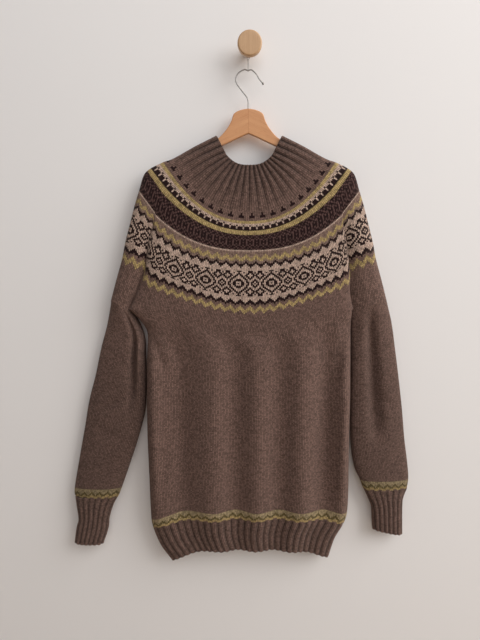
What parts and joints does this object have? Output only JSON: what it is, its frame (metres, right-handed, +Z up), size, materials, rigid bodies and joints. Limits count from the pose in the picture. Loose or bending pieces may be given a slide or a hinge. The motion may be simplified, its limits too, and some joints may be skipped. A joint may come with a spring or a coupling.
{
  "type": "sweater on a hanger",
  "caption": "Long-sleeved round-yoke pullover in knitted wool, open at neck, hem and cuffs, hung on a flat wooden hanger that hooks into a wire loop on a round wall knob.",
  "frame": {"origin": "middle of the knob stem's flat end, where it is fixed to the wall", "axes": "+X across the garment to the viewer's right, +Y into the wall, +Z up"},
  "size_m": [0.762, 0.0648, 1.1302],
  "materials": {
    "brown_wool": "matte heather wool, knitted",
    "hanger_beech": "satin varnish",
    "knob_beech": "oiled, matte",
    "wire_steel": "polished wire"
  },
  "bodies": {
    "root": {"neck_rib": "brown_wool", "yoke_upper_front": "brown_wool", "yoke_upper_back": "brown_wool", "yoke_middle_front": "brown_wool", "yoke_middle_back": "brown_wool", "yoke_lower_front": "brown_wool", "yoke_lower_back": "brown_wool", "body": "brown_wool", "hem_rib": "brown_wool", "sleeve_left": "brown_wool", "sleeve_right": "brown_wool", "cuff_left": "brown_wool", "cuff_right": "brown_wool", "hanger_wood": "hanger_beech", "hanger_hook": "wire_steel", "wire_loop": "wire_steel", "knob_disc": "knob_beech", "knob_stem": "knob_beech"}
  },
  "joints": []
}
